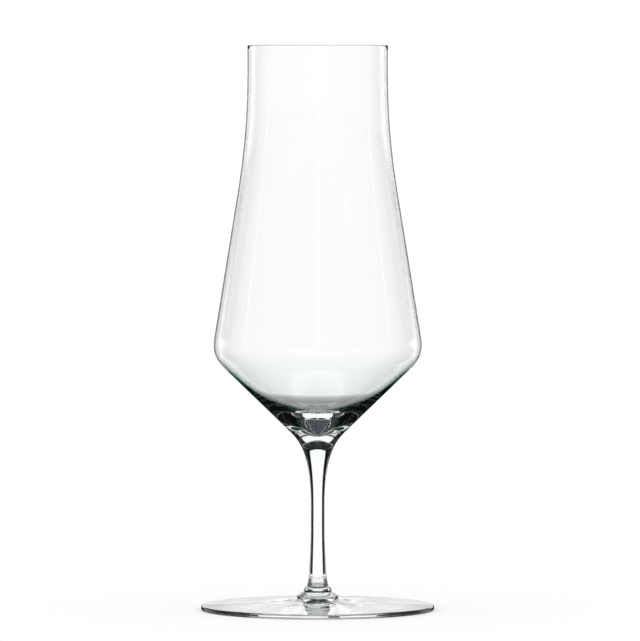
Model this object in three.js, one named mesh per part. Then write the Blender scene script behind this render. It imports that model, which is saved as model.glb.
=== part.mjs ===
// Stemmed spirits glass, in millimetres with +Z up.
// Four pieces of clear crystal stand on one axis, and each is welded to the next at a flat face:
// a round foot, a collar, a drawn stem, and a blown bowl with a thick conical base.
// The origin is the centre of the foot's underside.
import * as THREE from 'three';

// Foot: a disc that is thin at its rounded edge, rises gently and then climbs to a flat hub.
const FOOT_RADIUS = 38.2;
const FOOT_EDGE_THICKNESS = 1.5;
const FOOT_EDGE_FILLET = 0.6;
const FOOT_BEND_RADIUS = 22;
const FOOT_BEND_HEIGHT = 2.35;
const FOOT_BEND_FILLET = 300;
const FOOT_CLIMB_RADIUS = 10.5;
const FOOT_CLIMB_HEIGHT = 3.3;
const FOOT_CLIMB_FILLET = 18;
const FOOT_HUB_HEIGHT = 4;
const FOOT_HUB_LEDGE = 0.4;

// Collar: a wide lower roll, a groove and a narrower ring, between the foot and the stem.
const COLLAR_HEIGHT = 3.9;
const COLLAR_RADIUS = 6.9;
const COLLAR_EDGE_HEIGHT = 0.6;
const COLLAR_EDGE_FILLET = 0.35;
const COLLAR_ROLL_RADIUS = 4.85;
const COLLAR_ROLL_HEIGHT = 1.95;
const COLLAR_GROOVE_RADIUS = 4.3;
const COLLAR_GROOVE_HEIGHT = 2.05;
const COLLAR_RING_RADIUS = 4.65;
const COLLAR_RING_HEIGHT = 2.45;
const COLLAR_LEDGE = 0.3;

// Stem: a solid rod, thinnest in the middle, that flares to the collar and to the bowl.
const STEM_LENGTH = 45.7;
const STEM_WAIST_RADIUS = 2.29;
const STEM_BASE_RADIUS = 3.45;
const STEM_ANKLE_RADIUS = 2.86;
const STEM_ANKLE_HEIGHT = 3.4;
const STEM_ANKLE_FILLET = 6;
const STEM_LOWER_FLARE = 15.6;
const STEM_LOWER_FILLET = 200;
const STEM_UPPER_FLARE = 19.1;

// Weld between stem and bowl. The angle is the outline's lean from the axis there.
const WELD_RADIUS = 5.4;
const WELD_ANGLE = THREE.MathUtils.degToRad(27);

// Bowl, outside: a cone, a round shoulder, a tapering body and a straight mouth.
const BOWL_HEIGHT = 131.4;
const BELLY_RADIUS = 34.1;
const BELLY_HEIGHT = 33.3;
const SHOULDER_FILLET = 9.9;
const CONE_ANGLE = THREE.MathUtils.degToRad(45.9);
const BODY_ANGLE = THREE.MathUtils.degToRad(9.2);
const MOUTH_RADIUS = 22.95;
const NECK_FILLET = 235;

// Bowl, inside: a thin blown wall that gets thicker down the cone, and a round floor with a shallow pit.
// The floor rises by a power of the radius, and is FLOOR_RISE higher at FLOOR_REACH than on the axis.
const WALL = 0.6;
const FLOOR_HEIGHT = 7.5;
const FLOOR_REACH = 16;
const FLOOR_RISE = 6.02;
const FLOOR_POWER = 1.48;
const FLOOR_BLEND = 1.27;
const PIT_DEPTH = 1.8;
const PIT_RADIUS = 3.65;
const PIT_POWER = 1.77;

// Fineness of the round surfaces: sides around the axis, how far a chord may stand off its arc,
// and the largest share of the arc's radius that this may be.
const SIDES = 48;
const CHORD_ERROR = 0.04;
const LARGEST_SAG = 0.5;
const CURVE_STEPS = 9;
const LIP_STEPS = 4;
const FLOOR_STEPS = 28;
const SAME_POINT = 1e-4;

// Colour and roughness of the crystal, a little greyer where many faces meet.
const FOOT_FINISH = { color: 0xe9efed, roughness: 0.06 };
const COLLAR_FINISH = { color: 0xdfe6e4, roughness: 0.08 };
const STEM_FINISH = { color: 0xe4ebe9, roughness: 0.05 };
const BOWL_FINISH = { color: 0xeef4f2, roughness: 0.03 };

// A corner of an outline: radius from the axis, height, and the fillet that rounds it.
function corner(radius, height, fillet = 0) {
  return { at: new THREE.Vector2(radius, height), fillet };
}

// A unit vector that leans from the axis by an angle: outwards as it rises.
function lean(angle) {
  return new THREE.Vector2(Math.sin(angle), Math.cos(angle));
}

// The point where two lines meet, each given by a point on it and its direction.
function meet(pointA, directionA, pointB, directionB) {
  const reach = pointB.clone().sub(pointA).cross(directionB) / directionA.cross(directionB);
  return pointA.clone().addScaledVector(directionA, reach);
}

// Half the angle between the two stretches that meet at a corner.
function halfAngle(corners, index) {
  const back = corners[index - 1].at.clone().sub(corners[index].at);
  const ahead = corners[index + 1].at.clone().sub(corners[index].at);
  return back.angleTo(ahead) / 2;
}

// The length that a corner's fillet asks for along each of its two stretches.
function wantedTangent(corners, index) {
  const { fillet } = corners[index];
  return fillet > 0 ? fillet / Math.tan(halfAngle(corners, index)) : 0;
}

// A corner's share of the stretch to a neighbour, split by what both fillets ask for.
function sharedRoom(corners, index, neighbour) {
  const stretch = corners[index].at.distanceTo(corners[neighbour].at);
  const own = wantedTangent(corners, index);
  return (stretch * own) / (own + wantedTangent(corners, neighbour));
}

// The arc that rounds one corner, no longer than its stretches have room for.
function filletArc(corners, index) {
  const { at } = corners[index];
  const half = halfAngle(corners, index);
  const tangent = Math.min(
    wantedTangent(corners, index),
    sharedRoom(corners, index, index - 1),
    sharedRoom(corners, index, index + 1),
  );
  const radius = tangent * Math.tan(half);
  const back = corners[index - 1].at.clone().sub(at).normalize();
  const ahead = corners[index + 1].at.clone().sub(at).normalize();
  const inward = back.clone().add(ahead).normalize();
  const centre = at.clone().addScaledVector(inward, Math.hypot(tangent, radius));
  const start = at.clone().addScaledVector(back, tangent).sub(centre).angle();
  const end = at.clone().addScaledVector(ahead, tangent).sub(centre).angle();
  const clockwise = back.cross(ahead) > 0;
  const chordAngle = 2 * Math.acos(1 - Math.min(CHORD_ERROR / radius, LARGEST_SAG));
  const steps = Math.ceil((Math.PI - 2 * half) / chordAngle);
  return new THREE.EllipseCurve(centre.x, centre.y, radius, radius, start, end, clockwise).getPoints(steps);
}

// The points of an outline whose corners are rounded by their fillets.
function roundedOutline(corners) {
  const points = corners.flatMap(({ at, fillet }, index) => (fillet > 0 ? filletArc(corners, index) : [at]));
  const last = points.length - 1;
  return points.filter((point, index) => index === last || point.distanceTo(points[index + 1]) > SAME_POINT);
}

// Turns an outline of radii and heights about the Z axis into a closed piece of glass.
function turnedPiece(name, outline, finish) {
  const geometry = new THREE.LatheGeometry(outline, SIDES);
  geometry.rotateX(Math.PI / 2);
  const material = new THREE.MeshStandardMaterial({ ...finish, metalness: 0 });
  const piece = new THREE.Mesh(geometry, material);
  piece.name = name;
  return piece;
}

function makeFoot() {
  const outline = roundedOutline([
    corner(0, 0),
    corner(FOOT_RADIUS, 0, FOOT_EDGE_FILLET),
    corner(FOOT_RADIUS, FOOT_EDGE_THICKNESS, FOOT_EDGE_FILLET),
    corner(FOOT_BEND_RADIUS, FOOT_BEND_HEIGHT, FOOT_BEND_FILLET),
    corner(FOOT_CLIMB_RADIUS, FOOT_CLIMB_HEIGHT, FOOT_CLIMB_FILLET),
    corner(COLLAR_RADIUS + FOOT_HUB_LEDGE, FOOT_HUB_HEIGHT),
    corner(0, FOOT_HUB_HEIGHT),
  ]);
  return turnedPiece('foot', outline, FOOT_FINISH);
}

function makeCollar() {
  const outline = roundedOutline([
    corner(0, 0),
    corner(COLLAR_RADIUS, 0),
    corner(COLLAR_RADIUS, COLLAR_EDGE_HEIGHT, COLLAR_EDGE_FILLET),
    corner(COLLAR_ROLL_RADIUS, COLLAR_ROLL_HEIGHT),
    corner(COLLAR_GROOVE_RADIUS, COLLAR_GROOVE_HEIGHT),
    corner(COLLAR_RING_RADIUS, COLLAR_RING_HEIGHT),
    corner(STEM_BASE_RADIUS + COLLAR_LEDGE, COLLAR_HEIGHT),
    corner(0, COLLAR_HEIGHT),
  ]);
  return turnedPiece('foot_collar', outline, COLLAR_FINISH);
}

// The upper flare leaves the waist upright and reaches the weld at the weld's own lean.
function makeStem() {
  const weld = new THREE.Vector2(WELD_RADIUS, STEM_LENGTH);
  const waistTop = new THREE.Vector2(STEM_WAIST_RADIUS, STEM_LENGTH - STEM_UPPER_FLARE);
  const flareCorner = meet(weld, lean(WELD_ANGLE), waistTop, lean(0));
  const upperFlare = new THREE.QuadraticBezierCurve(waistTop, flareCorner, weld).getPoints(CURVE_STEPS);
  const lowerFlare = roundedOutline([
    corner(0, 0),
    corner(STEM_BASE_RADIUS, 0),
    corner(STEM_ANKLE_RADIUS, STEM_ANKLE_HEIGHT, STEM_ANKLE_FILLET),
    corner(STEM_WAIST_RADIUS, STEM_LOWER_FLARE, STEM_LOWER_FILLET),
    corner(waistTop.x, waistTop.y),
  ]);
  const outline = [...lowerFlare, ...upperFlare.slice(1), new THREE.Vector2(0, STEM_LENGTH)];
  return turnedPiece('stem', outline, STEM_FINISH);
}

// The corner where the cone and the body would meet if the shoulder were not round.
function shoulderCorner() {
  const distance = SHOULDER_FILLET / Math.cos((BODY_ANGLE + CONE_ANGLE) / 2);
  const angle = (BODY_ANGLE - CONE_ANGLE) / 2;
  const radius = BELLY_RADIUS - SHOULDER_FILLET + distance * Math.cos(angle);
  return corner(radius, BELLY_HEIGHT + distance * Math.sin(angle), SHOULDER_FILLET);
}

// The corner where the body, as it narrows upwards, meets the straight mouth.
function neckCorner(shoulder) {
  const rise = (shoulder.at.x - MOUTH_RADIUS) / Math.tan(BODY_ANGLE);
  return corner(MOUTH_RADIUS, shoulder.at.y + rise, NECK_FILLET);
}

// A point of the outside moved in by the wall, square to the way the outside runs there as it rises.
function movedIn(point, way) {
  return point.clone().addScaledVector(new THREE.Vector2(-way.y, way.x), WALL);
}

// The inside of a stretch of the outside, from its top down.
function insideOf(outside) {
  const last = outside.length - 1;
  const points = outside.map((point, index) => {
    const before = outside[Math.max(index - 1, 0)];
    const after = outside[Math.min(index + 1, last)];
    return movedIn(point, after.clone().sub(before).normalize());
  });
  return points.reverse();
}

// How far the floor lies above the inside of the cone at a radius, softly never less than nothing.
function floorAboveCone(radius, coneHeight) {
  const height = FLOOR_HEIGHT + FLOOR_RISE * (radius / FLOOR_REACH) ** FLOOR_POWER;
  return FLOOR_BLEND * Math.log1p(Math.exp((height - coneHeight) / FLOOR_BLEND));
}

// The inside from the top of the cone to the axis: the cone moved in, the floor added and the pit taken off.
function floorCurve(coneTop) {
  const way = lean(CONE_ANGLE);
  const slopeLength = (coneTop.x - WALL * way.y) / way.x;
  const rim = movedIn(coneTop, way);
  const atRim = floorAboveCone(rim.x, rim.y);
  const points = [];
  for (let step = 0; step <= FLOOR_STEPS; step += 1) {
    const cone = movedIn(coneTop.clone().addScaledVector(way, (-slopeLength * step) / FLOOR_STEPS), way);
    const radius = step < FLOOR_STEPS ? cone.x : 0;
    const pit = PIT_DEPTH * Math.exp(-((radius / PIT_RADIUS) ** PIT_POWER));
    points.push(new THREE.Vector2(radius, cone.y + floorAboveCone(radius, cone.y) - atRim - pit));
  }
  return points;
}

// The fillet from the weld to the cone begins at the weld itself, and the lip is half a circle.
function makeBowl() {
  const weld = new THREE.Vector2(WELD_RADIUS, 0);
  const shoulder = shoulderCorner();
  const weldCorner = meet(weld, lean(WELD_ANGLE), shoulder.at, lean(CONE_ANGLE));
  const weldFillet = weld.distanceTo(weldCorner) / Math.tan((CONE_ANGLE - WELD_ANGLE) / 2);
  const shoulderTangent = SHOULDER_FILLET * Math.tan((BODY_ANGLE + CONE_ANGLE) / 2);
  const coneTop = shoulder.at.clone().addScaledVector(lean(CONE_ANGLE), -shoulderTangent);
  const lipRadius = WALL / 2;
  const lipCentre = new THREE.Vector2(MOUTH_RADIUS - lipRadius, BOWL_HEIGHT - lipRadius);
  const lip = new THREE.EllipseCurve(lipCentre.x, lipCentre.y, lipRadius, lipRadius, 0, Math.PI);
  const outside = roundedOutline([
    corner(0, 0),
    corner(WELD_RADIUS, 0),
    corner(weldCorner.x, weldCorner.y, weldFillet),
    shoulder,
    neckCorner(shoulder),
    corner(MOUTH_RADIUS, lipCentre.y),
  ]);
  const aboveCone = outside.filter((point) => point.y > coneTop.y + SAME_POINT);
  const outline = [
    ...outside,
    ...lip.getPoints(LIP_STEPS).slice(1, -1),
    ...insideOf(aboveCone),
    ...floorCurve(coneTop),
  ];
  return turnedPiece('bowl', outline, BOWL_FINISH);
}

// The pieces stand on each other, from the foot up.
const glass = new THREE.Group();
const collar = makeCollar();
const stem = makeStem();
const bowl = makeBowl();
collar.position.z = FOOT_HUB_HEIGHT;
stem.position.z = collar.position.z + COLLAR_HEIGHT;
bowl.position.z = stem.position.z + STEM_LENGTH;
glass.add(makeFoot(), collar, stem, bowl);

export default glass;
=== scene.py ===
"""Stemmed spirits glass: four turned pieces of clear crystal on a pale stage, with camera and light."""
import math

import bpy
import numpy as np
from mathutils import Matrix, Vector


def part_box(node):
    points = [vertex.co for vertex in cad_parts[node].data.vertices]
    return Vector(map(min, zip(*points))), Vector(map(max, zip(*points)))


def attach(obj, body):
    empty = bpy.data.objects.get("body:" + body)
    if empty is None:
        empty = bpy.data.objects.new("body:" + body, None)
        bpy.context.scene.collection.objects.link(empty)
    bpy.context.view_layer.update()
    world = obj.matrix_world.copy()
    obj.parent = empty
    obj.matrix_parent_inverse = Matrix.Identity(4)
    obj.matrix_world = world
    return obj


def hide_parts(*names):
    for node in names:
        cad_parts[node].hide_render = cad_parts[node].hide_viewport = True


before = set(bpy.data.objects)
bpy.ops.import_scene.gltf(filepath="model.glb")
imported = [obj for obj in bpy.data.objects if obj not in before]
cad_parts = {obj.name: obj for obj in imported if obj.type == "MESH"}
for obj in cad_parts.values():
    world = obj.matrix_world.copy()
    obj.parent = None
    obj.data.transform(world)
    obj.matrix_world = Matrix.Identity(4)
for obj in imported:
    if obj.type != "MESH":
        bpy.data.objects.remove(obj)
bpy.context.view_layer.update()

bl_info = {
    "name": "Spirits Glass",
    "version": (1, 0, 0),
    "blender": (4, 5, 0),
    "location": "View3D > Sidebar > Spirits Glass",
    "description": "Makes a stemmed spirits glass from four turned pieces of clear crystal, and its stage",
    "category": "Add Mesh",
}

MM = 0.001

# Fineness of the turned surfaces: points around the axis, the longest step on a straight stretch of an
# outline, the widest turn on an arc, and the sharpest fold that is still shaded as round.
SIDES = 192
LONGEST_STEP = 1.6 * MM
TURN_STEP = math.radians(2.0)
ROUND_FOLD = math.radians(35)

# Points on the stem's flare, on the bowl's lip, and on its inside, which is then spaced evenly by a step.
FLARE_POINTS = 28
LIP_POINTS = 13
INSIDE_POINTS = 2000
INSIDE_STEP = 0.25 * MM

# An eased rounding begins further from its corner than a fillet. It is summed in fine steps, and one point
# is kept of every few.
EASE_LENGTH = 4 / 3
EASE_STEPS = 8
EASE_KEEPS = 4

# The fillet above the weld of the bowl uses nearly all of the stretch below it.
WELD_STRETCH = 0.999

# Waves on top of the foot: count around the axis, strength and start of each. They spread from where they
# are highest by a share of that radius.
RIPPLES = ((9, 1.0, 0.6), (16, 0.7, 2.1))
RIPPLE_SPREAD = 0.4

# Streaks in the glass: how fine they are, and how much they shift its tint.
STREAK_SCALE = 180.0
STREAK_DETAIL = 2.0
STREAK_SHIFT = 0.2

# How softly the painted shade in the collar's groove and the painted glow of the cone begin and end.
GROOVE_SHADE_EDGE = 0.1 * MM
PAINTED_GLOW_EDGE = 3 * MM

# The faces of a piece wear one of two finishes, by slot.
CLEAR_GLASS = 0
WELDED_FACE = 1


def height_range(node):
    """The lowest and highest place of a CAD node on the axis."""
    low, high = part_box(node)
    return low.z, high.z


def widest(node):
    """The largest radius of a CAD node."""
    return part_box(node)[1].x


# Settings

def length(name, description, default):
    """A length property in metres."""
    return bpy.props.FloatProperty(
        name=name, description=description, default=default, min=0.0, precision=5, unit="LENGTH"
    )


def angle(name, description, degrees):
    """An angle property, with its default given in degrees."""
    return bpy.props.FloatProperty(
        name=name, description=description, default=math.radians(degrees), subtype="ANGLE"
    )


def tint(name, description, default):
    """A colour property."""
    return bpy.props.FloatVectorProperty(
        name=name, description=description, default=default, size=3, min=0.0, max=1.0, subtype="COLOR"
    )


def number(name, description, default, highest=1.0):
    """A plain number property."""
    return bpy.props.FloatProperty(
        name=name, description=description, default=default, min=0.0, max=highest, precision=4
    )


class FootSizes(bpy.types.PropertyGroup):
    """Sizes of the foot that the frame doesn't give."""

    edge_thickness: length("Edge thickness", "Thickness of the foot at its edge", 1.5 * MM)
    edge_fillet: length("Edge fillet", "Rounding of the foot's edge", 0.6 * MM)
    bend_radius: length("Bend radius", "Distance from the axis where the top begins to rise faster", 22 * MM)
    bend_height: length("Bend height", "Height of the top at the bend", 2.35 * MM)
    bend_fillet: length("Bend fillet", "Rounding of the bend", 160 * MM)
    rise_radius: length("Rise radius", "Distance from the axis where the climb to the hub begins", 10.5 * MM)
    rise_height: length("Rise height", "Height of the top where the climb begins", 3.3 * MM)
    rise_fillet: length("Rise fillet", "Rounding at the foot of the climb", 18 * MM)
    hub_ledge: length("Hub ledge", "Flat ring around the collar", 0.4 * MM)
    bead: length("Bead", "How far the fire-polished rim stands above the top", 0.16 * MM)
    bead_width: length("Bead width", "Width of the bead on the rim", 0.9 * MM)
    ripple: length("Ripple", "Height of the hand-worked ripples on top", 0.1 * MM)
    ripple_radius: length("Ripple radius", "Distance from the axis where the ripples are highest", 13 * MM)


class CollarSizes(bpy.types.PropertyGroup):
    """Sizes of the collar that the frame doesn't give. Heights are above the foot."""

    edge_height: length("Edge height", "Height of the lower roll's side", 0.6 * MM)
    edge_fillet: length("Edge fillet", "Rounding of the lower roll", 0.35 * MM)
    roll_radius: length("Roll radius", "Radius of the lower roll at the groove", 4.85 * MM)
    roll_height: length("Roll height", "Height of the lower roll at the groove", 1.95 * MM)
    groove_radius: length("Groove radius", "Radius of the groove's bottom", 4.3 * MM)
    groove_height: length("Groove height", "Height of the groove's bottom", 2.05 * MM)
    ring_radius: length("Ring radius", "Radius of the upper ring's lower edge", 4.65 * MM)
    ring_height: length("Ring height", "Height of the upper ring's lower edge", 2.45 * MM)
    ring_fillet: length("Ring fillet", "Rounding of the ring and of the groove", 0.08 * MM)
    top_ledge: length("Top ledge", "Flat ring around the stem", 0.3 * MM)


class StemSizes(bpy.types.PropertyGroup):
    """Sizes of the stem that the frame doesn't give. Heights are above the collar."""

    waist_radius: length("Waist radius", "Radius of the thinnest stretch", 2.29 * MM)
    base_radius: length("Base radius", "Radius where the stem meets the collar", 3.45 * MM)
    ankle_radius: length("Ankle radius", "Radius just above the spread at the base", 2.86 * MM)
    ankle_height: length("Ankle height", "Height of the ankle", 3.4 * MM)
    ankle_fillet: length("Ankle fillet", "Rounding of the ankle", 1.5 * MM)
    mark_count: bpy.props.IntProperty(
        name="Tool marks", description="Fine rings that the jacks left at the base", default=3, min=0
    )
    mark_start: length("Mark start", "Height of the lowest tool mark", 0.35 * MM)
    mark_pitch: length("Mark pitch", "Distance between tool marks", 0.55 * MM)
    mark_depth: length("Mark depth", "Depth of a tool mark", 0.07 * MM)
    mark_fillet: length("Mark fillet", "Rounding of a tool mark", 0.06 * MM)
    lower_flare: length("Lower flare", "Height where the lower flare ends", 15.6 * MM)
    lower_fillet: length("Lower fillet", "Rounding where the lower flare ends", 150 * MM)
    upper_flare: length("Upper flare", "Length of the flare below the bowl", 19.1 * MM)
    weld_angle: angle("Weld angle", "Lean of the outline from the axis at the bowl", 27)


class BowlSizes(bpy.types.PropertyGroup):
    """Sizes of the bowl that the frame doesn't give. Heights are above the stem."""

    belly_height: length("Belly height", "Height of the widest place", 33.3 * MM)
    shoulder_fillet: length("Shoulder fillet", "Rounding of the shoulder", 9.9 * MM)
    cone_angle: angle("Cone angle", "Lean of the lower cone from the axis", 45.9)
    body_angle: angle("Body angle", "Lean of the tapering body from the axis", 9.2)
    mouth_radius: length("Mouth radius", "Outer radius of the straight mouth", 22.95 * MM)
    neck_fillet: length("Neck fillet", "Rounding between body and mouth", 235 * MM)
    wall: length("Wall", "Thickness of the blown wall", 0.6 * MM)
    floor_height: length("Floor height", "Height of the floor's middle, without its pit", 7.5 * MM)
    floor_reach: length("Floor reach", "Distance from the axis where the floor's rise is measured", 16 * MM)
    floor_rise: length("Floor rise", "How much higher the floor is there than in the middle", 6.02 * MM)
    floor_power: number("Floor power", "Power of the radius by which the floor rises", 1.48, 9.0)
    floor_blend: length("Floor blend", "Softness of the join between floor and cone", 1.27 * MM)
    pit_depth: length("Pit depth", "Depth of the pit that drawing the stem leaves", 1.8 * MM)
    pit_radius: length("Pit radius", "Radius of the pit", 3.65 * MM)
    pit_power: number("Pit power", "How steep the pit's side is, as a power of the radius", 1.77, 20.0)
    # Heights of the painted glow: a faint emission of the glass in the cone, in place of caught stray light.
    painted_glow_from: length("Glow from", "Height where the faint glow in the cone is full", 21.5 * MM)
    painted_glow_to: length("Glow to", "Height where the faint glow in the cone begins to fade", 26.5 * MM)


class GlassFinish(bpy.types.PropertyGroup):
    """Colour and polish of the crystal, with painted shade in the collar's groove and a painted glow in the
    cone.
    """

    clear: tint("Clear glass", "Tint of thin glass", (0.990, 0.993, 0.992))
    thick: tint("Thick glass", "Tint of thick glass", (0.90, 0.955, 0.935))
    # Painted shade: a near-black tint that darkens the glass in the collar's groove, where shade falls.
    painted_groove_shade: tint("Crease", "Tint of the fold in the collar's groove", (0.02, 0.022, 0.025))
    # Painted glow: a faint teal emission of the bowl's glass in the upper cone, in place of stray light
    # caught there.
    painted_glow: tint("Glow", "Stray light that is caught in the upper cone", (0.0015, 0.0060, 0.0045))
    ior: number("Index", "Index of refraction", 1.52, 3.0)


class StageLook(bpy.types.PropertyGroup):
    """Camera, floor and light."""

    camera_distance: length("Camera distance", "Distance from the axis to the camera", 2.195)
    camera_height: length("Camera height", "Height of the camera above the floor", 0.185)
    aim_height: length("Aim height", "Height on the axis that the camera looks at", 0.09486)
    aside: length("Aside", "How far the camera stands to the right of the axis", 0.75 * MM)
    focal_pixels: number("Focal length", "Focal length in pixels of the picture", 6713.0, 20000.0)
    floor_radius: length("Floor radius", "Radius of the floor", 6.0)
    floor_drop: length("Floor drop", "Gap between the foot and the floor", 0.03 * MM)
    floor_dull: number("Floor dull", "Darkest grey of the floor's mottle", 0.93)
    floor_pale: number("Floor pale", "Palest grey of the floor's mottle", 0.95)
    under_glass: number("Under glass", "Brightness of the floor seen through the foot", 0.9)
    # Painted shade and light: the floor is dark for light that was mirrored in the foot, except for a paler
    # painted ring.
    painted_floor_shade: tint("Guided", "Floor in light that was mirrored in the foot", (0.070, 0.080, 0.094))
    painted_floor_ring: number("Guided ring", "Brightness of a ring of the floor in such light", 0.6)
    sky: number("Sky", "Brightness that the camera and the floor see all round", 1.1, 4.0)
    panel: number("Panel", "Brightness of the lit backdrop", 1.15, 4.0)
    table: number("Table", "Brightness of the table near the glass", 0.40, 4.0)
    paper: number("Paper", "Brightness that the glass sees right below it", 1.1, 4.0)
    backdrop_half: number("Backdrop half angle", "Half the backdrop's width in degrees", 27.0, 90.0)
    side_light: number("Side light", "Brightness of the lights beyond the flags, in backdrops", 1.1, 4.0)
    edge: tint("Edge", "Colour of light that runs along the cone's edge", (0.024, 0.075, 0.055))
    room: tint("Room", "Colour of the dark room overhead", (0.12, 0.14, 0.175))


SETTINGS = {
    "foot": FootSizes,
    "foot_collar": CollarSizes,
    "stem": StemSizes,
    "bowl": BowlSizes,
    "finish": GlassFinish,
    "stage": StageLook,
}


class SpiritsGlass(bpy.types.PropertyGroup):
    """All sizes and colours of the glass and its stage."""

    foot: bpy.props.PointerProperty(type=FootSizes, name="Foot", description="Sizes of the foot")
    foot_collar: bpy.props.PointerProperty(type=CollarSizes, name="Collar", description="Sizes of the collar")
    stem: bpy.props.PointerProperty(type=StemSizes, name="Stem", description="Sizes of the stem")
    bowl: bpy.props.PointerProperty(type=BowlSizes, name="Bowl", description="Sizes of the bowl")
    finish: bpy.props.PointerProperty(type=GlassFinish, name="Finish", description="Colour of the crystal")
    stage: bpy.props.PointerProperty(type=StageLook, name="Stage", description="Camera, floor and light")


# Outlines

def unit(vector):
    """A vector of length one along the given one."""
    return vector / np.linalg.norm(vector)


def lean(from_axis):
    """A unit vector that leans from the axis by an angle, outwards as it rises."""
    return np.array([math.sin(from_axis), math.cos(from_axis)])


def meet(point_a, way_a, point_b, way_b):
    """The point where two lines meet, each given by a point and a direction."""
    gap = point_b - point_a
    reach = (gap[0] * way_b[1] - gap[1] * way_b[0]) / (way_a[0] * way_b[1] - way_a[1] * way_b[0])
    return point_a + reach * way_a


def distances(points):
    """How far along the line through them each of the points lies."""
    return np.concatenate([[0.0], np.cumsum(np.linalg.norm(np.diff(points, axis=0), axis=1))])


def straight(start, end):
    """Points from start to just before end, spaced evenly by no more than the longest step."""
    count = max(1, math.ceil(np.linalg.norm(end - start) / LONGEST_STEP))
    along = np.arange(count)[:, None] / count
    return start + along * (end - start)


def even(points, step):
    """Points along a line through the given ones, spaced evenly by about one step."""
    gone = distances(points)
    wanted = np.linspace(0, gone[-1], max(2, math.ceil(gone[-1] / step) + 1))
    return np.stack([np.interp(wanted, gone, points[:, 0]), np.interp(wanted, gone, points[:, 1])], axis=1)


def eased_arc(before, at, after, radius):
    """A rounding whose bend grows from nothing and fades out again, as tight at its middle as a fillet.

    The way along it turns by the sweep times 3 s squared less 2 s cubed, where s runs from 0 to 1 along it.
    The points are the running sum of that way. It is longer than a fillet that cuts the corner as deeply.
    """
    back = unit(before - at)
    ahead = unit(after - at)
    half = math.acos(np.clip(back @ ahead, -1, 1)) / 2
    tangent = EASE_LENGTH * radius / math.tan(half)
    sweep = math.pi - 2 * half
    along = np.linspace(0, 1, EASE_STEPS * math.ceil(sweep / TURN_STEP) + 1)
    turned = sweep * along ** 2 * (3 - 2 * along)
    across = unit(ahead - (ahead @ back) * back)
    way = np.cos(turned)[:, None] * -back + np.sin(turned)[:, None] * across
    sums = np.concatenate([[[0.0, 0.0]], np.cumsum((way[1:] + way[:-1]) / 2, axis=0)])
    size = np.linalg.norm(ahead - back) * tangent / np.linalg.norm(sums[-1])
    return (at + back * tangent + sums * size)[::EASE_KEEPS]


def fillet_arc(before, at, after, radius):
    """The arc of a given radius that touches both stretches of a corner.

    A point on it is the centre plus the two end spokes, weighted by sin of the angle still to go and of the
    angle already gone, over sin of the whole sweep.
    """
    back = unit(before - at)
    ahead = unit(after - at)
    half = math.acos(np.clip(back @ ahead, -1, 1)) / 2
    tangent = radius / math.tan(half)
    centre = at + unit(back + ahead) * math.hypot(tangent, radius)
    sweep = math.pi - 2 * half
    gone = np.linspace(0, sweep, max(3, math.ceil(sweep / TURN_STEP) + 1))[:, None]
    first = at + back * tangent - centre
    last = at + ahead * tangent - centre
    return centre + (np.sin(sweep - gone) * first + np.sin(gone) * last) / math.sin(sweep)


def rounded(corners):
    """An outline through corners of (radius, height, fillet, kind of arc), with even steps between its arcs.

    A corner without a fillet stays sharp, and a fillet without a kind is a round one.
    """
    places = [np.array(corner[:2]) for corner in corners]
    ends = []
    for index, corner in enumerate(corners):
        if len(corner) > 2:
            arc = corner[3] if len(corner) > 3 else fillet_arc
            ends.append(arc(places[index - 1], places[index], places[index + 1], corner[2]))
        else:
            ends.append(places[index][None])
    runs = []
    for here, following in zip(ends, ends[1:]):
        runs.append(here[:-1])
        runs.append(straight(here[-1], following[0]))
    return np.concatenate(runs + [ends[-1]])


# Meshes

def turned_mesh(name, outline, welds=(), shape=None):
    """Turns an outline about the Z axis into a closed mesh, with sharp shading at its folds.

    Point (i, j) lies at radius r(i), turned by j steps of a full turn over SIDES, at height z(i). The outline
    begins and ends on the axis, where all of its turns share one point. shape, if given, takes the grids of
    radius, turn and height and returns them changed. A face is a weld if it lies flat at one of the heights
    in welds, within the radius given there.
    """
    rings = outline[1:-1]
    turn = np.linspace(0, 2 * math.pi, SIDES, endpoint=False)
    radius, around = np.meshgrid(rings[:, 0], turn, indexing="ij")
    height = np.repeat(rings[:, 1:2], SIDES, axis=1)
    if shape:
        radius, around, height = shape(radius, around, height)
    grid = np.stack([radius * np.cos(around), radius * np.sin(around), height], axis=-1).reshape(-1, 3)
    poles = np.array([[0, 0, outline[0, 1]], [0, 0, outline[-1, 1]]])
    points = np.concatenate([grid, poles])

    index = np.arange(len(rings) * SIDES).reshape(len(rings), SIDES)
    beside = np.roll(index, -1, axis=1)
    quads = np.stack([index[:-1], beside[:-1], beside[1:], index[1:]], axis=-1).reshape(-1, 4)
    bottom = np.full(SIDES, len(grid))
    top = np.full(SIDES, len(grid) + 1)
    fans = np.concatenate([
        np.stack([bottom, beside[0], index[0]], axis=-1),
        np.stack([top, index[-1], beside[-1]], axis=-1),
    ])

    mesh = bpy.data.meshes.new(name)
    mesh.vertices.add(len(points))
    mesh.vertices.foreach_set("co", points.astype(np.float32).ravel())
    mesh.loops.add(quads.size + fans.size)
    mesh.loops.foreach_set("vertex_index", np.concatenate([quads.ravel(), fans.ravel()]).astype(np.int32))
    sizes = np.concatenate([np.full(len(quads), 4), np.full(len(fans), 3)])
    mesh.polygons.add(len(sizes))
    mesh.polygons.foreach_set("loop_start", (np.cumsum(sizes) - sizes).astype(np.int32))
    mesh.polygons.foreach_set("use_smooth", np.ones(len(sizes), bool))
    mesh.polygons.foreach_set("material_index", weld_slots(points, quads, fans, welds))
    mesh.update(calc_edges=True)
    mesh.validate()
    mesh.set_sharp_from_angle(angle=ROUND_FOLD)
    return mesh


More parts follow.
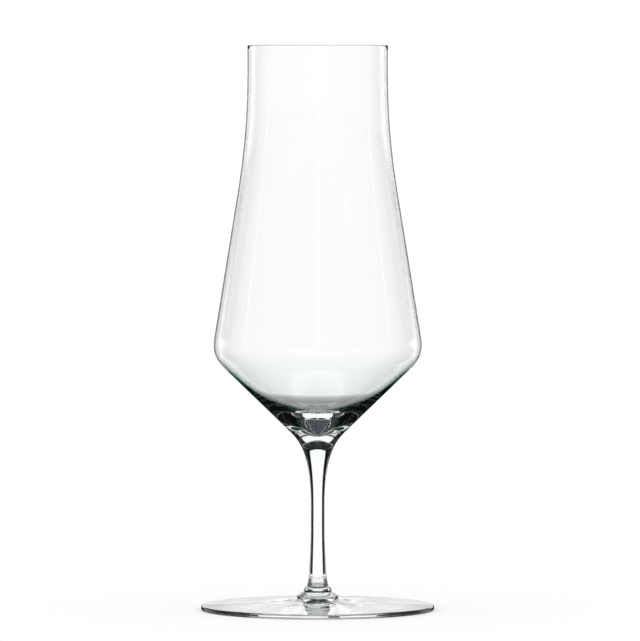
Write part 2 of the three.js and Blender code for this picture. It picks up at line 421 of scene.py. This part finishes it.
def weld_slots(points, quads, fans, welds):
    """The slot of each face: a welded face has all its corners at a weld's height and within its radius."""
    slots = []
    reach = np.hypot(points[:, 0], points[:, 1])
    close = 1e-3 * MM
    for faces in (quads, fans):
        flat = np.zeros(len(faces), bool)
        for height, radius in welds:
            on_weld = (np.abs(points[:, 2] - height) < close) & (reach < radius + close)
            flat |= on_weld[faces].all(axis=1)
        slots.append(np.where(flat, WELDED_FACE, CLEAR_GLASS))
    return np.concatenate(slots).astype(np.int32)


def add_piece(name, mesh, materials):
    """Puts a piece into the scene, on the root body, in place of the CAD node of the same name."""
    piece = bpy.data.objects.new(name + "_glass", mesh)
    bpy.context.scene.collection.objects.link(piece)
    for material in materials:
        mesh.materials.append(material)
    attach(piece, "root")
    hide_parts(name)


# Finishes

class Value:
    """A number in a node tree. Operators on it add Math nodes."""

    def __init__(self, tree, socket):
        self.tree = tree
        self.socket = socket

    def __add__(self, other):
        return self.tree.maths("ADD", self, other)

    def __radd__(self, other):
        return self.tree.maths("ADD", other, self)

    def __sub__(self, other):
        return self.tree.maths("SUBTRACT", self, other)

    def __rsub__(self, other):
        return self.tree.maths("SUBTRACT", other, self)

    def __mul__(self, other):
        return self.tree.maths("MULTIPLY", self, other)

    def __rmul__(self, other):
        return self.tree.maths("MULTIPLY", other, self)

    def __abs__(self):
        return self.tree.maths("ABSOLUTE", self)

    def clamped(self):
        """The number kept between 0 and 1."""
        return self.tree.maths("ADD", self, 0.0, use_clamp=True)


class NodeTree:
    """A node tree that is written as expressions."""

    def __init__(self, owner):
        owner.use_nodes = True
        self.nodes = owner.node_tree.nodes
        self.links = owner.node_tree.links
        self.nodes.clear()

    def node(self, kind, settings=None, **sockets):
        """Adds a node: its type, its settings, and values or links for its sockets, by name or as _index."""
        node = self.nodes.new(kind)
        for name, value in (settings or {}).items():
            setattr(node, name, value)
        for name, value in sockets.items():
            place = int(name[1:]) if name.startswith("_") else name.replace("_", " ")
            self.feed(node.inputs[place], value)
        return node

    def feed(self, entry, value):
        """Sets a socket to a number or colour, or links it."""
        if isinstance(value, Value):
            self.links.new(value.socket, entry)
        elif isinstance(value, bpy.types.NodeSocket):
            self.links.new(value, entry)
        else:
            entry.default_value = value

    def maths(self, operation, *numbers, use_clamp=False):
        """Adds a Math node on one, two or three numbers."""
        settings = {"operation": operation, "use_clamp": use_clamp}
        sockets = {f"_{index}": each for index, each in enumerate(numbers)}
        return Value(self, self.node("ShaderNodeMath", settings, **sockets).outputs[0])

    def mix_colour(self, factor, first, second):
        """A colour between two, by a factor."""
        settings = {"data_type": "RGBA", "clamp_factor": True}
        return self.node("ShaderNodeMix", settings, _0=factor, _6=first, _7=second).outputs[2]

    def mix(self, factor, first, second):
        """A number between two, by a factor."""
        settings = {"data_type": "FLOAT"}
        return Value(self, self.node("ShaderNodeMix", settings, _0=factor, _2=first, _3=second).outputs[0])

    def ramp(self, value, start, full):
        """A number that goes smoothly from 0 where value is at start to 1 where it is at full.

        Either end may be the higher one.
        """
        settings = {"interpolation_type": "SMOOTHSTEP"}
        return Value(self, self.node("ShaderNodeMapRange", settings, _0=value, _1=start, _2=full).outputs[0])

    def band(self, value, one_edge, other_edge):
        """A number that is 1 between two soft edges, each given as the start and the full end of a ramp."""
        return self.ramp(value, *one_edge) * self.ramp(value, *other_edge)


def opaque(colour):
    """A colour with full alpha."""
    return (*colour, 1.0)


def grey(level):
    """A grey with full alpha."""
    return (level, level, level, 1.0)


def glass_finish(name, look, thick_from, thick_to, painted_groove_shade=None, painted_glow_heights=None):
    """Clear crystal with faint streaks, greener from one height to another as the glass gets thicker.

    painted_groove_shade and painted_glow_heights, if given, are pairs of heights. Between the first the glass
    is tinted near black as painted shade in a groove, and between the second it gives off a faint painted
    glow in place of stray light.
    """
    material = bpy.data.materials.new(name)
    tree = NodeTree(material)
    place = tree.node("ShaderNodeTexCoord").outputs["Object"]
    height = Value(tree, tree.node("ShaderNodeSeparateXYZ", Vector=place).outputs["Z"])
    noise = tree.node("ShaderNodeTexNoise", Vector=place, Scale=STREAK_SCALE, Detail=STREAK_DETAIL)
    streak = Value(tree, noise.outputs[0])
    thickness = (tree.ramp(height, thick_from, thick_to) + (streak - 0.5) * STREAK_SHIFT).clamped()
    colour = tree.mix_colour(thickness, opaque(look.clear), opaque(look.thick))
    # Painted shade: between the groove's heights the glass is tinted near black.
    if painted_groove_shade:
        low, high = painted_groove_shade
        groove_shade_mask = tree.band(height, (low - GROOVE_SHADE_EDGE, low), (high + GROOVE_SHADE_EDGE, high))
        colour = tree.mix_colour(groove_shade_mask, colour, opaque(look.painted_groove_shade))
    shader = tree.node(
        "ShaderNodeBsdfPrincipled", Base_Color=colour, Roughness=0.0, IOR=look.ior, Transmission_Weight=1.0
    )
    # Painted glow: the glass gives off a faint light between the glow's heights.
    if painted_glow_heights:
        low, high = painted_glow_heights
        lit = tree.band(height, (low - PAINTED_GLOW_EDGE, low), (high + PAINTED_GLOW_EDGE, high))
        tree.feed(shader.inputs["Emission Color"], tree.mix_colour(lit, grey(0.0), opaque(look.painted_glow)))
        tree.feed(shader.inputs["Emission Strength"], 1.0)
    tree.node("ShaderNodeOutputMaterial", Surface=shader.outputs[0])
    return material


def weld_finish():
    """A face inside the glass, where two pieces are one: it shows nothing."""
    name = "welded_face"
    if name in bpy.data.materials:
        return bpy.data.materials[name]
    material = bpy.data.materials.new(name)
    tree = NodeTree(material)
    shader = tree.node("ShaderNodeBsdfTransparent", Color=grey(1.0))
    tree.node("ShaderNodeOutputMaterial", Surface=shader.outputs[0])
    return material


# Pieces

class MakeFoot(bpy.types.Operator):
    """Makes the round foot, thin at its edge, with a faintly rippled top"""

    bl_idname = "spirits_glass.make_foot"
    bl_label = "Make Foot"

    def execute(self, context):
        glass = context.scene.spirits_glass
        sizes = glass.foot
        base, hub = height_range("foot")
        radius = widest("foot")
        collar = widest("foot_collar")
        behind_bead = radius - sizes.bead_width
        outline = rounded([
            (0.0, base),
            (radius, base, sizes.edge_fillet),
            (radius, base + sizes.edge_thickness + sizes.bead, sizes.edge_fillet),
            (behind_bead, base + self.top_at(sizes, radius, behind_bead), sizes.bead_width),
            (sizes.bend_radius, base + sizes.bend_height, sizes.bend_fillet),
            (sizes.rise_radius, base + sizes.rise_height, sizes.rise_fillet),
            (collar + sizes.hub_ledge, hub),
            (collar, hub),
            (0.0, hub),
        ])

        def rippled(reach, around, height):
            """Adds ripples to the top: cosine waves around the axis, under a bell curve of the radius."""
            on_top = (height > base + sizes.edge_thickness) & (reach > collar + sizes.hub_ledge)
            spread = RIPPLE_SPREAD * sizes.ripple_radius
            fade = np.exp(-((reach - sizes.ripple_radius) / spread) ** 2)
            waves = sum(strength * np.cos(count * around + start) for count, strength, start in RIPPLES)
            return reach, around, height + on_top * sizes.ripple * fade * waves

        mesh = turned_mesh("foot", outline, welds=[(hub, collar)], shape=rippled)
        finish = glass_finish("foot_crystal", glass.finish, base, hub)
        add_piece("foot", mesh, [finish, weld_finish()])
        return {"FINISHED"}

    @staticmethod
    def top_at(sizes, radius, reach):
        """Height of the top between its edge and its bend, on the straight line between them."""
        inwards = (radius - reach) / (radius - sizes.bend_radius)
        return sizes.edge_thickness + inwards * (sizes.bend_height - sizes.edge_thickness)


class MakeCollar(bpy.types.Operator):
    """Makes the small collar between foot and stem"""

    bl_idname = "spirits_glass.make_collar"
    bl_label = "Make Collar"

    def execute(self, context):
        glass = context.scene.spirits_glass
        sizes = glass.foot_collar
        base, top = height_range("foot_collar")
        radius = widest("foot_collar")
        stem = glass.stem.base_radius
        outline = rounded([
            (0.0, base),
            (radius, base),
            (radius, base + sizes.edge_height, sizes.edge_fillet),
            (sizes.roll_radius, base + sizes.roll_height, sizes.ring_fillet),
            (sizes.groove_radius, base + sizes.groove_height, sizes.ring_fillet),
            (sizes.ring_radius, base + sizes.ring_height, sizes.ring_fillet),
            (stem + sizes.top_ledge, top),
            (stem, top),
            (0.0, top),
        ])
        mesh = turned_mesh("foot_collar", outline, welds=[(base, radius), (top, stem)])
        # Heights of the painted shade in the groove, from the top of the lower roll to the ring's lower edge.
        painted_groove_shade = (base + sizes.roll_height, base + sizes.ring_height)
        finish = glass_finish("collar_crystal", glass.finish, top, base, painted_groove_shade=painted_groove_shade)
        add_piece("foot_collar", mesh, [finish, weld_finish()])
        return {"FINISHED"}


class MakeStem(bpy.types.Operator):
    """Makes the drawn stem, thinnest in the middle"""

    bl_idname = "spirits_glass.make_stem"
    bl_label = "Make Stem"

    def execute(self, context):
        glass = context.scene.spirits_glass
        sizes = glass.stem
        base, top = height_range("stem")
        weld = np.array([widest("stem"), top])
        waist_top = np.array([sizes.waist_radius, top - sizes.upper_flare])
        lower = rounded([
            (0.0, base),
            (sizes.base_radius, base),
            *self.tool_marks(sizes, base),
            (sizes.ankle_radius, base + sizes.ankle_height, sizes.ankle_fillet),
            (sizes.waist_radius, base + sizes.lower_flare, sizes.lower_fillet),
            tuple(waist_top),
        ])
        cap = straight(weld, np.array([0.0, top]))[1:]
        outline = np.concatenate([lower, self.flare(sizes, waist_top, weld), cap, [[0.0, top]]])
        mesh = turned_mesh("stem", outline, welds=[(base, sizes.base_radius), (top, weld[0])])
        finish = glass_finish("stem_crystal", glass.finish, waist_top[1], top)
        add_piece("stem", mesh, [finish, weld_finish()])
        return {"FINISHED"}

    @staticmethod
    def tool_marks(sizes, base):
        """Corners of fine rings on the spread at the base: a ridge and a valley in turn."""
        spread = (sizes.base_radius - sizes.ankle_radius) / sizes.ankle_height
        corners = []
        for step in range(2 * sizes.mark_count):
            height = sizes.mark_start + step * sizes.mark_pitch / 2
            depth = sizes.mark_depth / 2 * (1 if step % 2 == 0 else -1)
            corners.append((sizes.base_radius - spread * height + depth, base + height, sizes.mark_fillet))
        return corners

    @staticmethod
    def flare(sizes, waist_top, weld):
        """The flare from the waist to the bowl: a quadratic curve, upright at the waist.

        Its three points are weighted by (1 - t) squared, 2 t (1 - t) and t squared, where t runs from 0 to 1.
        """
        bend = meet(weld, lean(sizes.weld_angle), waist_top, lean(0.0))
        along = np.linspace(0, 1, FLARE_POINTS)[1:, None]
        return (1 - along) ** 2 * waist_top + 2 * along * (1 - along) * bend + along ** 2 * weld


class MakeBowl(bpy.types.Operator):
    """Makes the blown bowl: cone, shoulder, tapering body and mouth outside, and the drink's space inside"""

    bl_idname = "spirits_glass.make_bowl"
    bl_label = "Make Bowl"

    def execute(self, context):
        glass = context.scene.spirits_glass
        sizes = glass.bowl
        base, rim = height_range("bowl")
        weld = np.array([widest("stem"), base])
        shoulder = self.shoulder(sizes, base)
        cone = lean(sizes.cone_angle)
        bend = meet(weld, lean(glass.stem.weld_angle), shoulder, cone)
        turn = sizes.cone_angle - glass.stem.weld_angle
        weld_fillet = WELD_STRETCH * np.linalg.norm(weld - bend) / math.tan(turn / 2)
        neck = meet(shoulder, lean(-sizes.body_angle), np.array([sizes.mouth_radius, 0.0]), lean(0.0))
        lip = np.array([sizes.mouth_radius - sizes.wall / 2, rim - sizes.wall / 2])
        outside = rounded([
            (0.0, base),
            tuple(weld),
            (*bend, weld_fillet),
            (*shoulder, sizes.shoulder_fillet, eased_arc),
            (*neck, sizes.neck_fillet),
            (sizes.mouth_radius, lip[1]),
        ])
        tangent = EASE_LENGTH * sizes.shoulder_fillet * math.tan((sizes.body_angle + sizes.cone_angle) / 2)
        cone_top = shoulder - tangent * cone
        over = np.linspace(0, math.pi, LIP_POINTS)[1:-1]
        rounding = lip + sizes.wall / 2 * np.stack([np.cos(over), np.sin(over)], axis=1)
        inside = self.moved_in(sizes, outside[outside[:, 1] > cone_top[1]])
        outline = np.concatenate([outside, rounding, inside[::-1], self.floor(sizes, base, cone_top)])
        mesh = turned_mesh("bowl", outline, welds=[(base, weld[0])])
        # Heights of the painted glow in the upper cone.
        painted_glow_heights = (base + sizes.painted_glow_from, base + sizes.painted_glow_to)
        belly = base + sizes.belly_height
        finish = glass_finish("bowl_crystal", glass.finish, belly, base, painted_glow_heights=painted_glow_heights)
        add_piece("bowl", mesh, [finish, weld_finish()])
        return {"FINISHED"}

    @staticmethod
    def shoulder(sizes, base):
        """The corner where cone and body would meet if the shoulder were not round."""
        away = sizes.shoulder_fillet / math.cos((sizes.body_angle + sizes.cone_angle) / 2)
        tilt = (sizes.body_angle - sizes.cone_angle) / 2
        centre = np.array([widest("bowl") - sizes.shoulder_fillet, base + sizes.belly_height])
        return centre + away * np.array([math.cos(tilt), math.sin(tilt)])

    @staticmethod
    def moved_in(sizes, outside):
        """Points of the outside, each moved in square to the outline by the wall's thickness."""
        way = np.gradient(outside, distances(outside), axis=0)
        inward = np.stack([-way[:, 1], way[:, 0]], axis=1) / np.linalg.norm(way, axis=1)[:, None]
        return outside + sizes.wall * inward

    @classmethod
    def floor(cls, sizes, base, cone_top):
        """The inside from the top of the cone to the axis.

        The straight cone is moved in by the wall. The floor's height is a middle height plus a power of the
        radius. It joins the cone softly, as the logarithm of the sum of their exponentials. A pit is taken
        off that fades as the exponential of minus another power of the radius.
        """
        way = lean(sizes.cone_angle)
        slope_length = (cone_top[0] - sizes.wall * way[1]) / way[0]
        straight_cone = cone_top - np.linspace(0, slope_length, INSIDE_POINTS)[:, None] * way
        radius, cone = cls.moved_in(sizes, straight_cone[::-1])[::-1].T
        radius = np.append(np.maximum(radius[:-1], 0), 0)
        rise = sizes.floor_rise * (radius / sizes.floor_reach) ** sizes.floor_power
        middle = base + sizes.floor_height + rise
        above = sizes.floor_blend * np.logaddexp(0, (middle - cone) / sizes.floor_blend)
        joined = cone + above - above[0]
        pit = sizes.pit_depth * np.exp(-(radius / sizes.pit_radius) ** sizes.pit_power)
        return even(np.stack([radius, joined - pit], axis=1), INSIDE_STEP)


# Studio

# Soft edges of the studio in degrees of rise above the horizon: no effect at the first, full at the second.
BACKDROP_TOP = (35.0, 31.0)
FLAGS_LOW = (-45.0, -40.0)
FLAGS_TOP_ONCE = (5.0, 3.0)
FLAGS_TOP_AGAIN = (-12.0, -16.0)
PAPER_TOP = (-52.0, -60.0)
PALE_LOW = (-50.0, -45.0)
PALE_TOP = (-8.0, -11.0)
SLIT_LOW = (-6.0, -3.0)
SLIT_TOP = (20.0, 17.0)
CORNER_LOW = (15.0, 17.0)
CEILING_LOW = (28.0, 33.0)
CEILING_TOP = (62.0, 58.0)
SHEEN_HIGH = (6.0, 9.0)
SHEEN_LOW = (7.0, 3.0)
CONE_TOP = (-4.0, -10.0)
EDGE_LOW = (-31.0, -26.0)
EDGE_TOP = (-7.0, -11.0)
ROOM_LOW = (38.0, 48.0)

# Soft edges in degrees of turn from the middle of a backdrop. BACKDROP_SIDE is counted from its half width,
# and CONE_SIDE on the rise plus a share of the turn.
BACKDROP_SIDE = (2.0, -2.0)
FLAG_GAP = (5.0, 1.0)
INNER_LIGHT = (18.0, 22.0)
INNER_FADE = (38.0, 58.0)
OUTER_LIGHT = (26.0, 34.0)
OUTER_FADE = (45.0, 68.0)
PALE_SIDE = (20.0, 24.0)
SLIT_SIDE = (2.0, 1.2)
CORNER_SIDE = (38.0, 41.0)
CONE_SIDE = (1.0, -5.0)
CONE_TURN = 0.8

# Strengths: how much the lights beyond the flags fade, how a slit dims high up, how the outside of the glass
# shines high up and dims low down, how the room dims in mirrored light, and what is left in the dark.
INNER_LOSS = 0.8
OUTER_SHARE = 0.8
OUTER_LOSS = 0.6
SLIT_LOSS = 0.4
SHINE = 0.3
LOW_LOSS = 0.34
ROOM_LOSS = 0.9
DARK = 0.003

# The backdrop fades into the table: what it adds to the table's brightness is an exponential of the rise,
# with this strength at SWEEP_RISE, up to the brightness of the panel.
SWEEP_STRENGTH = 0.33
SWEEP_RATE = 0.305
SWEEP_RISE = -17.4

# Half the angle of one of four sides, and how near a count of mirrors or bends has to be to a whole number.
HALF_SIDE = 45.0
COUNT_SLACK = 0.1


class Studio:
    """What the glass sees around it, by direction: a lit backdrop that fades into a table, in a dark room.

    Light that was only bent in the glass finds a backdrop on each of four sides. Light that was mirrored
    finds the one ahead, with dark flags that draw the outline of the glass.
    """

    def __init__(self, tree, look):
        """Works out the direction in degrees, and how light went through the glass before.

        rise is the angle above the horizon. side_turn is the angle from the middle of the nearest side, and
        turn is the same, or for mirrored light the angle from the middle of the backdrop ahead. wide is 1
        within the backdrop's width. once is 1 for light that was mirrored once, and outside is 1 where that
        was on the outside of the glass.
        """
        self.tree = tree
        self.look = look
        way = tree.node("ShaderNodeTexCoord").outputs["Generated"]
        split = tree.node("ShaderNodeSeparateXYZ", Vector=way)
        x, y, z = (Value(tree, split.outputs[axis]) for axis in "XYZ")
        ahead = abs(tree.maths("DEGREES", tree.maths("ARCTAN2", x, y)))
        self.path = tree.node("ShaderNodeLightPath").outputs
        self.mirrors = Value(tree, self.path["Glossy Depth"])
        self.bends = Value(tree, self.path["Transmission Depth"])
        self.mirrored = self.mirrors.clamped()
        self.bent = self.bends.clamped()
        self.once = tree.maths("COMPARE", self.mirrors, 1.0, COUNT_SLACK)
        self.outside = self.once * (1 - self.bent)
        self.rise = tree.maths("DEGREES", tree.maths("ARCSINE", z))
        self.side_turn = tree.maths("PINGPONG", ahead, HALF_SIDE)
        self.turn = tree.mix(self.mirrored, self.side_turn, ahead)
        self.wide = tree.ramp(self.turn - look.backdrop_half, *BACKDROP_SIDE)

    def more_mirrors_than(self, count):
        """1 where light was mirrored more often than a count, and 0 elsewhere."""
        return self.tree.maths("GREATER_THAN", self.mirrors, count + 0.5)

    def backdrop(self):
        """The backdrop. Mirrored light finds a gap between dark flags there, and lights beyond the flags."""
        tree, look, rise, turn = self.tree, self.look, self.rise, self.turn
        flags_once = self.once * tree.band(rise, FLAGS_LOW, FLAGS_TOP_ONCE)
        flags_again = self.more_mirrors_than(1) * tree.band(rise, FLAGS_LOW, FLAGS_TOP_AGAIN)
        inner = tree.ramp(turn, *INNER_LIGHT) * (1 - INNER_LOSS * tree.ramp(turn, *INNER_FADE))
        outer = tree.ramp(turn, *OUTER_LIGHT) * (OUTER_SHARE - OUTER_LOSS * tree.ramp(turn, *OUTER_FADE))
        beyond = tree.mix(self.bent, outer, inner) * look.side_light
        flagged = tree.ramp(turn, *FLAG_GAP) + beyond
        across = tree.mix(flags_once + flags_again, self.wide, flagged)
        sweep = SWEEP_STRENGTH * tree.maths("EXPONENT", SWEEP_RATE * (rise - SWEEP_RISE))
        level = tree.maths("MINIMUM", look.table + sweep, look.panel)
        return across * level * tree.ramp(rise, *BACKDROP_TOP)

    def below(self):
        """What light that was only bent finds low down: pale stretches beside the backdrops, and paper."""
        tree, look, rise = self.tree, self.look, self.rise
        paper = tree.ramp(rise, *PAPER_TOP) * look.paper
        pale = tree.ramp(self.turn, *PALE_SIDE) * tree.band(rise, PALE_LOW, PALE_TOP) * look.panel
        return (1 - self.mirrored) * (paper + pale)

    def slits(self):
        """Slits square to the four sides and lights over the corners, which only the outside mirrors.

        A ceiling light is there for light that was bent in and out and mirrored often between.
        """
        tree, rise = self.tree, self.rise
        square = tree.ramp(self.side_turn, *SLIT_SIDE) * tree.band(rise, SLIT_LOW, SLIT_TOP)
        dimmed = square * (1 - SLIT_LOSS * tree.ramp(rise, *SHEEN_HIGH))
        corner = tree.ramp(self.side_turn, *CORNER_SIDE) * tree.band(rise, CORNER_LOW, BACKDROP_TOP)
        often = self.more_mirrors_than(2) * tree.maths("COMPARE", self.bends, 2.0, COUNT_SLACK)
        ceiling = often * self.wide * tree.band(rise, CEILING_LOW, CEILING_TOP)
        return ((dimmed + corner) * self.outside + ceiling) * self.look.panel

    def sheen(self):
        """How much the outside of the glass mirrors: more high up, less low down, nothing under the cone."""
        tree, rise = self.tree, self.rise
        under_cone = tree.ramp(rise, *CONE_TOP) * tree.ramp(rise + CONE_TURN * self.turn, *CONE_SIDE)
        low_down = LOW_LOSS * tree.ramp(rise, *SHEEN_LOW) * (1 - under_cone)
        return 1 + self.outside * (SHINE * tree.ramp(rise, *SHEEN_HIGH) - under_cone - low_down)

    def bright(self):
        """The brightness of everything that is lit."""
        return self.tree.maths("MAXIMUM", self.backdrop(), self.below() + self.slits()) * self.sheen()

    def dark(self):
        """The colour of the rest: nearly black, green along the cone's edge, and blue grey overhead."""
        tree, look, rise = self.tree, self.look, self.rise
        along_edge = self.once * self.bent * tree.band(rise, EDGE_LOW, EDGE_TOP)
        dim = tree.mix_colour(along_edge, grey(DARK), opaque(look.edge))
        overhead = tree.ramp(rise, *ROOM_LOW) * (1 - ROOM_LOSS * self.mirrored)
        return tree.mix_colour(overhead, dim, opaque(look.room))

    def seen_plainly(self):
        """1 for what the camera and the floor see, which is plain white, and 0 for what the glass sees."""
        scattered = Value(self.tree, self.path["Diffuse Depth"]).clamped()
        return self.tree.maths("MAXIMUM", Value(self.tree, self.path["Is Camera Ray"]), scattered)


# Stage

# The floor: corners of its disc, its mottle, how near a bent ray has to start to find it, and the soft edges
# of the painted bright ring in the painted shade that light mirrored in the foot finds.
FLOOR_CORNERS = 96
MOTTLE_SCALE = 3.0
MOTTLE_DETAIL = 2.0
FLOOR_SIGHT = 30 * MM
RING_INSIDE = (18 * MM, 24 * MM)
RING_OUTSIDE = (34 * MM, 30 * MM)

# The camera: width of its sensor in millimetres, longer side of the picture in pixels, and how far it sees.
SENSOR_WIDTH = 36.0
PICTURE_SIDE = 641
SIGHT = 100.0

# How often light may be mirrored and bent in the glass.
BOUNCES = 32


class MakeStage(bpy.types.Operator):
    """Makes the pale floor, the camera at the photograph's angle and the studio light"""

    bl_idname = "spirits_glass.make_stage"
    bl_label = "Make Stage"

    def execute(self, context):
        look = context.scene.spirits_glass.stage
        self.floor(context, look)
        self.camera(context, look)
        self.light(context, look)
        return {"FINISHED"}

    @classmethod
    def floor(cls, context, look):
        """A wide pale disc just under the foot, its corners evenly on a circle. Mirrored rays miss it."""
        turn = np.linspace(0, 2 * math.pi, FLOOR_CORNERS, endpoint=False)
        height = np.full(FLOOR_CORNERS, -look.floor_drop)
        rim = np.stack([look.floor_radius * np.cos(turn), look.floor_radius * np.sin(turn), height], axis=1)
        mesh = bpy.data.meshes.new("floor")
        mesh.from_pydata(rim.tolist(), [], [list(range(FLOOR_CORNERS))])
        mesh.materials.append(cls.floor_finish(look))
        floor = bpy.data.objects.new("floor", mesh)
        context.scene.collection.objects.link(floor)
        floor.visible_glossy = False

    @staticmethod
    def floor_finish(look):
        """Pale paper with a faint mottle.

        Little light reaches it through the glass, so it gives off light of its own to rays that the foot
        bent. To those that were also mirrored there it gives off painted shade, a dark colour with a paler
        painted ring. Bent rays from further away pass through it.
        """
        material = bpy.data.materials.new("pale_floor")
        tree = NodeTree(material)
        place = tree.node("ShaderNodeTexCoord").outputs["Object"]
        noise = tree.node("ShaderNodeTexNoise", Vector=place, Scale=MOTTLE_SCALE, Detail=MOTTLE_DETAIL)
        distance = tree.node("ShaderNodeVectorMath", {"operation": "LENGTH"}, _0=place)
        path = tree.node("ShaderNodeLightPath").outputs
        bent = Value(tree, path["Is Transmission Ray"])
        mirrored = Value(tree, path["Glossy Depth"]).clamped()
        far = tree.maths("GREATER_THAN", Value(tree, path["Ray Length"]), FLOOR_SIGHT)
        # Painted shade for light mirrored in the foot: a dark floor with a paler painted ring between
        # RING_INSIDE and RING_OUTSIDE.
        ring = tree.band(Value(tree, distance.outputs["Value"]), RING_INSIDE, RING_OUTSIDE)
        painted_floor_shade = tree.mix_colour(ring, opaque(look.painted_floor_shade), grey(look.painted_floor_ring))
        beneath = tree.mix_colour(mirrored, grey(look.under_glass), painted_floor_shade)
        mottle = Value(tree, noise.outputs[0])
        mottled = tree.mix_colour(mottle, grey(look.floor_dull), grey(look.floor_pale))
        paper = tree.node(
            "ShaderNodeBsdfPrincipled",
            Base_Color=tree.mix_colour(bent, mottled, grey(0.0)),
            Roughness=1.0,
            Specular_IOR_Level=0.0,
            Emission_Color=tree.mix_colour(bent, grey(0.0), beneath),
            Emission_Strength=1.0,
        )
        clear = tree.node("ShaderNodeBsdfTransparent", Color=grey(1.0))
        shader = tree.node("ShaderNodeMixShader", _0=bent * far, _1=paper.outputs[0], _2=clear.outputs[0])
        tree.node("ShaderNodeOutputMaterial", Surface=shader.outputs[0])
        return material

    @staticmethod
    def camera(context, look):
        """A long lens at the height of the rim, aimed at the middle of the glass."""
        data = bpy.data.cameras.new("camera")
        camera = bpy.data.objects.new("camera", data)
        context.scene.collection.objects.link(camera)
        camera.location = (look.aside, -look.camera_distance, look.camera_height)
        drop = math.atan2(look.camera_height - look.aim_height, look.camera_distance)
        camera.rotation_euler = (math.pi / 2 - drop, 0.0, 0.0)
        data.sensor_width = SENSOR_WIDTH
        data.lens = look.focal_pixels * SENSOR_WIDTH / PICTURE_SIDE
        data.clip_end = SIGHT
        context.scene.camera = camera

    @staticmethod
    def light(context, look):
        """White light for the camera and the floor, and the studio for what the glass bends and mirrors."""
        scene = context.scene
        world = bpy.data.worlds.new("studio")
        scene.world = world
        tree = NodeTree(world)
        studio = Studio(tree, look)
        dark = tree.node("ShaderNodeBackground", Color=studio.dark(), Strength=1.0)
        lit = tree.node("ShaderNodeBackground", Color=grey(1.0), Strength=studio.bright())
        both = tree.node("ShaderNodeAddShader", _0=dark.outputs[0], _1=lit.outputs[0])
        plain = tree.node("ShaderNodeBackground", Color=grey(1.0), Strength=look.sky)
        shader = tree.node(
            "ShaderNodeMixShader", _0=studio.seen_plainly(), _1=both.outputs[0], _2=plain.outputs[0]
        )
        tree.node("ShaderNodeOutputWorld", Surface=shader.outputs[0])
        world.cycles.sampling_method = "NONE"
        scene.view_settings.view_transform = "Standard"
        scene.cycles.max_bounces = BOUNCES
        scene.cycles.glossy_bounces = BOUNCES
        scene.cycles.transmission_bounces = BOUNCES
        scene.cycles.transparent_max_bounces = BOUNCES


class SpiritsGlassPanel(bpy.types.Panel):
    """Lists the pieces and the stage"""

    bl_idname = "VIEW3D_PT_spirits_glass"
    bl_label = "Spirits Glass"
    bl_space_type = "VIEW_3D"
    bl_region_type = "UI"
    bl_category = "Spirits Glass"

    def draw(self, context):
        for operator in OPERATORS:
            self.layout.operator(operator.bl_idname)
        for group in SETTINGS:
            box = self.layout.box()
            box.label(text=group.replace("_", " ").capitalize())
            settings = getattr(context.scene.spirits_glass, group)
            for name in settings.__annotations__:
                box.prop(settings, name)


OPERATORS = (MakeStage, MakeFoot, MakeCollar, MakeStem, MakeBowl)
CLASSES = (*SETTINGS.values(), SpiritsGlass, *OPERATORS, SpiritsGlassPanel)


def register():
    """Registers the classes and adds the settings to the scene."""
    for each in CLASSES:
        bpy.utils.register_class(each)
    bpy.types.Scene.spirits_glass = bpy.props.PointerProperty(type=SpiritsGlass)


def unregister():
    """Takes the settings off the scene and removes the classes."""
    del bpy.types.Scene.spirits_glass
    for each in reversed(CLASSES):
        bpy.utils.unregister_class(each)


def main():
    """Makes the stage and the four pieces."""
    register()
    bpy.ops.spirits_glass.make_stage()
    bpy.ops.spirits_glass.make_foot()
    bpy.ops.spirits_glass.make_collar()
    bpy.ops.spirits_glass.make_stem()
    bpy.ops.spirits_glass.make_bowl()


if __name__ == "__main__":
    main()
